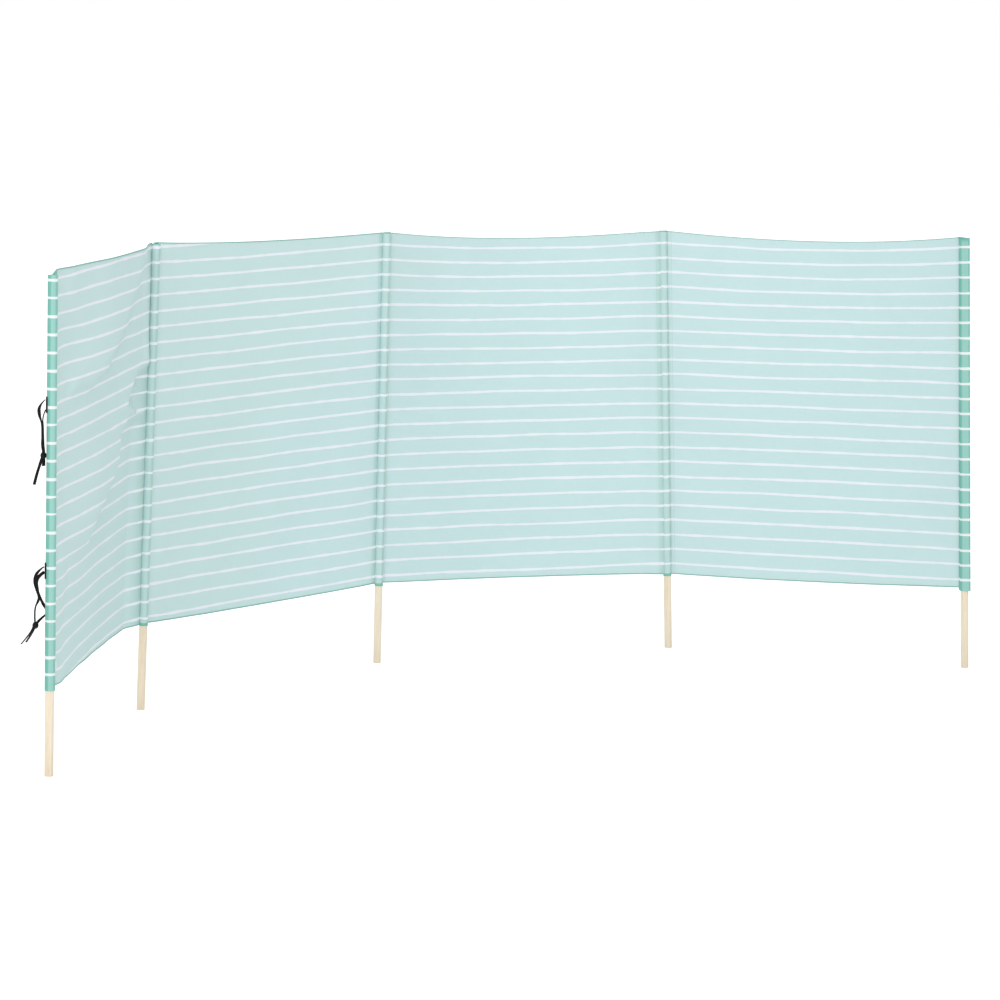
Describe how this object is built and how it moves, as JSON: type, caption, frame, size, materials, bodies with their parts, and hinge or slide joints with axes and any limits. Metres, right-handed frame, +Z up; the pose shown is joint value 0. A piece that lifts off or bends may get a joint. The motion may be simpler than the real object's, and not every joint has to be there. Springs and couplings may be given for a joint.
{
  "type": "beach windbreak",
  "caption": "Striped cloth strip sewn into bays on round wooden poles, set up in a curve as a beach wind screen that folds at its poles.",
  "frame": {"origin": "centre of the middle pole's foot face, at ground level", "axes": "+Z up, +X along the strip's longest extent, +Y away from somebody on the sheltered side who faces the middle pole"},
  "size_m": [2.8427, 2.0346, 1.4212],
  "materials": {
    "pole_wood": "plain sanded softwood",
    "cloth_outer": "printed woven cloth, saturated side",
    "cloth_inner": "printed woven cloth, pale reverse",
    "tie_tape": "black woven tape",
    "plain_tab": "plain white tape"
  },
  "bodies": {
    "bay_3": {"pole_3": "pole_wood", "pole_4": "pole_wood", "sleeve_3": "cloth_outer", "sleeve_4": "cloth_outer", "panel_3": "cloth_inner", "top_hem_3": "cloth_outer", "bottom_hem_3": "cloth_outer"},
    "bay_2": {"pole_2": "pole_wood", "sleeve_2": "cloth_outer", "panel_2": "cloth_inner", "top_hem_2": "cloth_outer", "bottom_hem_2": "cloth_outer"},
    "bay_1": {"pole_1": "pole_wood", "sleeve_1": "cloth_outer", "panel_1": "cloth_inner", "top_hem_1": "cloth_outer", "bottom_hem_1": "cloth_outer", "seam_tab": "plain_tab", "upper_tie_long_strand": "tie_tape", "upper_tie_short_strand": "tie_tape", "upper_tie_long_tail": "tie_tape", "upper_tie_short_tail": "tie_tape", "lower_tie_long_strand": "tie_tape", "lower_tie_short_strand": "tie_tape", "lower_tie_long_tail": "tie_tape", "lower_tie_short_tail": "tie_tape", "upper_tie_knot": "tie_tape", "lower_tie_knot": "tie_tape", "upper_tie_patch": "tie_tape", "lower_tie_patch": "tie_tape"},
    "bay_4": {"pole_5": "pole_wood", "sleeve_5": "cloth_outer", "panel_4": "cloth_inner", "top_hem_4": "cloth_outer", "bottom_hem_4": "cloth_outer"}
  },
  "joints": [
    {"name": "fold_at_pole_3", "type": "hinge", "parent": "bay_3", "child": "bay_2", "pos_m": [0, 0, 0], "axis": [0.0277, 0.0028, 0.9996], "range_deg": [-112.1, 47.9]},
    {"name": "fold_at_pole_2", "type": "hinge", "parent": "bay_2", "child": "bay_1", "pos_m": [-0.68986, -0.77157, 0], "axis": [0.0508, -0.0275, 0.9983], "range_deg": [-112.6, 47.4]},
    {"name": "fold_at_pole_4", "type": "hinge", "parent": "bay_3", "child": "bay_4", "pos_m": [0.97231, 0.28064, 0], "axis": [0.0193, 0.0021, -0.9998], "range_deg": [-117, 43]}
  ]
}
